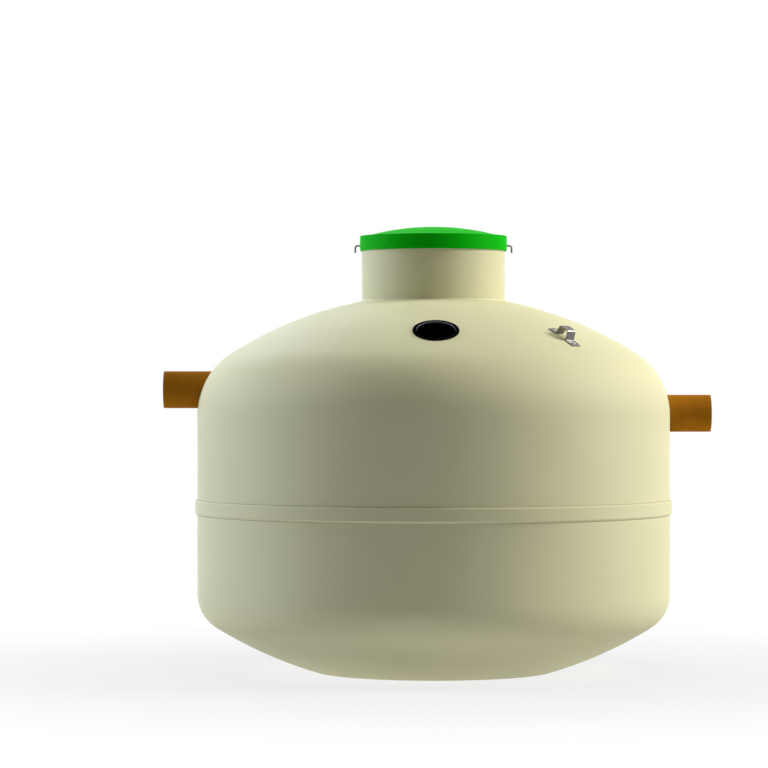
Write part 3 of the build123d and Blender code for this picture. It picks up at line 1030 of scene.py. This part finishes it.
class TankLiftingLugs(bpy.types.Operator):
    """Builds the two bent steel lugs with the domed bolts in their feet"""

    bl_idname = "oil_separator.lifting_lugs"
    bl_label = "Lifting lugs"

    def lug_path(self):
        """The middle line of the bent strip, with both feet lying on the roof."""
        level = LUG_THICKNESS / 2 + SEAT_GAP

        def foot(x):
            return (x, 0, level + sqrt(ROOF_CROWN**2 - x**2) - ROOF_CROWN)

        top = LUG_HEIGHT - LUG_THICKNESS / 2
        corners = [
            foot(-LUG_LENGTH / 2), foot(-LUG_LEG_SPREAD / 2), (-LUG_TOP_WIDTH / 2, 0, top),
            (LUG_TOP_WIDTH / 2, 0, top), foot(LUG_LEG_SPREAD / 2), foot(LUG_LENGTH / 2),
        ]
        return bent_path(corners, [LUG_FOOT_BEND, LUG_BEND, LUG_BEND, LUG_FOOT_BEND], 10)

    def bolt(self, name, place, radius, material):
        """A turned, domed head with a round socket."""
        height, socket, depth = radius * 0.55, radius * 0.5, radius * 0.32
        corners = [
            (0.0, -0.001, 0),
            (radius, -0.001, 0),
            (radius, 0.0004, 0.0003),
            (radius * 0.86, height * 0.62, 0.002),
            (socket + 0.0006, height, 0.0003),
            (socket, height - 0.0003, 0.0002),
            (socket * 0.92, height - depth, 0),
            (0.0, height - depth, 0),
        ]
        return lathe(name, rounded(corners, closed=False), BOLT_STEPS, [material], place)

    def execute(self, context):
        look, detail = settings()[:2]
        steel = plated_steel("lug_steel", look.steel_colour, 0.27, 160.0)
        bolt_colour = [min(BOLT_TONE * c, 1.0) for c in look.steel_colour]
        bolt_steel = plated_steel("bolt_steel", bolt_colour, 0.22, 500.0)
        half_width, half_thickness = LUG_WIDTH / 2, LUG_THICKNESS / 2
        section = [
            (-half_thickness, -half_width), (half_thickness, -half_width),
            (half_thickness, half_width), (-half_thickness, half_width),
        ]
        for corner, bearing in LUG_BEARINGS.items():
            node = f"lifting_lug_{corner}"
            place = roof_place(LUG_DISTANCE, bearing)
            lug = sweep(f"{node}_strip", self.lug_path(), section, [steel], (0, 1, 0))
            lug.data.transform(place)
            bevel(lug, LUG_EDGE, 3, radians(50))
            settle(lug, "tank", "lug_steel", node)
            for end, x in (("upper", -1), ("lower", 1)):
                reach = x * (LUG_LENGTH / 2 - LUG_HOLE_FROM_END)
                seat = LUG_THICKNESS + SEAT_GAP + sqrt(ROOF_CROWN**2 - reach**2) - ROOF_CROWN
                lean = Matrix.Rotation(asin(reach / ROOF_CROWN), 4, "Y")
                spot = place @ Matrix.Translation((reach, 0, seat)) @ lean
                bolt = self.bolt(f"{node}_{end}_bolt", spot, detail.bolt_radius, bolt_steel)
                settle(bolt, "tank", "lug_steel")
        return {"FINISHED"}


# Stage

class TankStage(bpy.types.Operator):
    """Lays the pale floor, lights the tank softly and sets the camera at the photograph's place"""

    bl_idname = "oil_separator.stage"
    bl_label = "Stage"

    def soft_box(self, name, bearing, elevation, power, colour, stage):
        """A square soft light on a bearing from the front, round to the right, aimed at the tank."""
        lamp = bpy.data.lights.new(name, "AREA")
        lamp.shape = "SQUARE"
        lamp.size = stage.light_size
        lamp.energy = power
        lamp.color = colour
        turn, lift = radians(bearing), radians(elevation)
        way = Vector((sin(turn) * cos(lift), -cos(turn) * cos(lift), sin(lift)))
        obj = linked_object(name, lamp)
        obj.location = Vector((0, 0, TANK_MIDDLE)) + way * stage.light_distance
        obj.rotation_euler = (-way).to_track_quat("-Z", "Y").to_euler()

    def background_rays(self, nodes, links):
        """1 for the rays that show the background, straight or in gloss and glass."""
        path = nodes.new("ShaderNodeLightPath")
        seen = path.outputs["Is Camera Ray"]
        for kind in ("Is Glossy Ray", "Is Transmission Ray"):
            either = nodes.new("ShaderNodeMath")
            either.operation = "MAXIMUM"
            links.new(seen, either.inputs[0])
            links.new(path.outputs[kind], either.inputs[1])
            seen = either.outputs["Value"]
        return seen

    def smooth_step(self, nodes, links, value, start, end):
        """A value's smooth change from one (place, level) to another."""
        step = nodes.new("ShaderNodeMapRange")
        step.interpolation_type = "SMOOTHSTEP"
        ends = {"From Min": start[0], "From Max": end[0], "To Min": start[1], "To Max": end[1]}
        for name, level in ends.items():
            step.inputs[name].default_value = level
        links.new(value, step.inputs["Value"])
        return step.outputs["Result"]

    def floor(self, stage):
        """Pale paper that glows a little, turns white with distance and lights the tank's underside."""
        floor = shape_object(
            "floor", bmesh.ops.create_circle, segments=FLOOR_STEPS, radius=stage.floor_radius
        )
        paper = Finish("floor_paper")
        nodes, links = paper.nodes, paper.material.node_tree.links
        paper.set("Base Color", (FLOOR_GREY, FLOOR_GREY, FLOOR_GREY, 1.0))
        paper.set("Roughness", 0.9)
        paper.set("Specular IOR Level", 0.0)
        where = nodes.new("ShaderNodeTexCoord")
        length = nodes.new("ShaderNodeVectorMath")
        length.operation = "LENGTH"
        links.new(where.outputs["Object"], length.inputs[0])
        away = length.outputs["Value"]
        shown = self.smooth_step(
            nodes, links, away, (TANK_RADIUS, FLOOR_SHADING), (stage.shadow_radius, 1.0)
        )
        share = nodes.new("ShaderNodeMath")
        share.operation = "MULTIPLY"
        links.new(self.background_rays(nodes, links), share.inputs[0])
        links.new(shown, share.inputs[1])
        glow = nodes.new("ShaderNodeEmission")
        strength = self.smooth_step(
            nodes, links, away, (FOOT_RADIUS, FOOT_GLOW * stage.floor_glow), (TANK_RADIUS, stage.floor_glow)
        )
        links.new(strength, glow.inputs["Strength"])
        lit = nodes.new("ShaderNodeAddShader")
        links.new(paper.shader.outputs["BSDF"], lit.inputs[0])
        links.new(glow.outputs["Emission"], lit.inputs[1])
        white = nodes.new("ShaderNodeEmission")
        white.inputs["Strength"].default_value = 1.0
        mix = nodes.new("ShaderNodeMixShader")
        links.new(share.outputs["Value"], mix.inputs["Fac"])
        links.new(lit.outputs["Shader"], mix.inputs[1])
        links.new(white.outputs["Emission"], mix.inputs[2])
        links.new(mix.outputs["Shader"], paper.output.inputs["Surface"])
        floor.data.materials.append(paper.material)

    def world(self, stage):
        """A faint even light, with plain white where the background shows."""
        world = bpy.data.worlds.new("studio")
        bpy.context.scene.world = world
        world.use_nodes = True
        nodes, links = world.node_tree.nodes, world.node_tree.links
        nodes.clear()
        output = nodes.new("ShaderNodeOutputWorld")
        mix = nodes.new("ShaderNodeMixShader")
        links.new(self.background_rays(nodes, links), mix.inputs["Fac"])
        for place, strength in ((1, stage.ambient), (2, 1.0)):
            background = nodes.new("ShaderNodeBackground")
            background.inputs["Color"].default_value = WHITE
            background.inputs["Strength"].default_value = strength
            links.new(background.outputs["Background"], mix.inputs[place])
        links.new(mix.outputs["Shader"], output.inputs["Surface"])

    def camera(self):
        """The photograph's own camera."""
        lens = bpy.data.cameras.new("photo_camera")
        lens.lens = CAMERA_LENS
        lens.sensor_width = CAMERA_SENSOR
        lens.sensor_fit = "HORIZONTAL"
        lens.clip_end = CAMERA_REACH
        camera = linked_object("photo_camera", lens)
        camera.location = CAMERA_PLACE
        camera.rotation_euler = (pi / 2, 0, 0)
        bpy.context.scene.camera = camera

    def execute(self, context):
        stage = settings()[2]
        for name, (bearing, elevation, colour) in LAMPS.items():
            power = getattr(stage, f"{name}_power")
            self.soft_box(f"{name}_light", bearing, elevation, power, colour, stage)
        self.floor(stage)
        self.world(stage)
        self.camera()
        bpy.context.scene.view_settings.view_transform = "Standard"
        return {"FINISHED"}


class TankPanel(bpy.types.Panel):
    """Lists the tank's sizes, colours and building steps"""

    bl_idname = "VIEW3D_PT_oil_separator"
    bl_label = "Oil Separator"
    bl_space_type = "VIEW_3D"
    bl_region_type = "UI"
    bl_category = "Oil Separator"

    def draw(self, context):
        layout = self.layout
        for group in settings():
            box = layout.box()
            for name in group.bl_rna.properties.keys():
                if name not in ("rna_type", "name"):
                    box.prop(group, name)
        for operator in OPERATORS:
            layout.operator(operator.bl_idname)


GROUPS = {
    "tank_finish": TankFinishSettings,
    "tank_detail": TankDetailSettings,
    "tank_stage": TankStageSettings,
}
OPERATORS = (
    TankUpperMoulding,
    TankLowerMoulding,
    TankJointBelt,
    TankNeck,
    TankCover,
    TankCoverGasket,
    TankLockingRods,
    TankPipes,
    TankRingSeal,
    TankLiftingLugs,
    TankStage,
)


def register():
    """Registers the settings, the building steps and the sidebar panel."""
    for name, group in GROUPS.items():
        bpy.utils.register_class(group)
        setattr(bpy.types.Scene, name, PointerProperty(type=group))
    for operator in OPERATORS:
        bpy.utils.register_class(operator)
    bpy.utils.register_class(TankPanel)


def unregister():
    """Takes all of it out again."""
    bpy.utils.unregister_class(TankPanel)
    for operator in reversed(OPERATORS):
        bpy.utils.unregister_class(operator)
    for name, group in GROUPS.items():
        delattr(bpy.types.Scene, name)
        bpy.utils.unregister_class(group)


def main():
    """Builds the whole tank and its stage."""
    register()
    bpy.ops.oil_separator.upper_moulding()
    bpy.ops.oil_separator.lower_moulding()
    bpy.ops.oil_separator.joint_belt()
    bpy.ops.oil_separator.neck()
    bpy.ops.oil_separator.cover()
    bpy.ops.oil_separator.cover_gasket()
    bpy.ops.oil_separator.locking_rods()
    bpy.ops.oil_separator.pipes()
    bpy.ops.oil_separator.ring_seal()
    bpy.ops.oil_separator.lifting_lugs()
    bpy.ops.oil_separator.stage()
    bpy.context.view_layer.update()


if __name__ == "__main__":
    main()
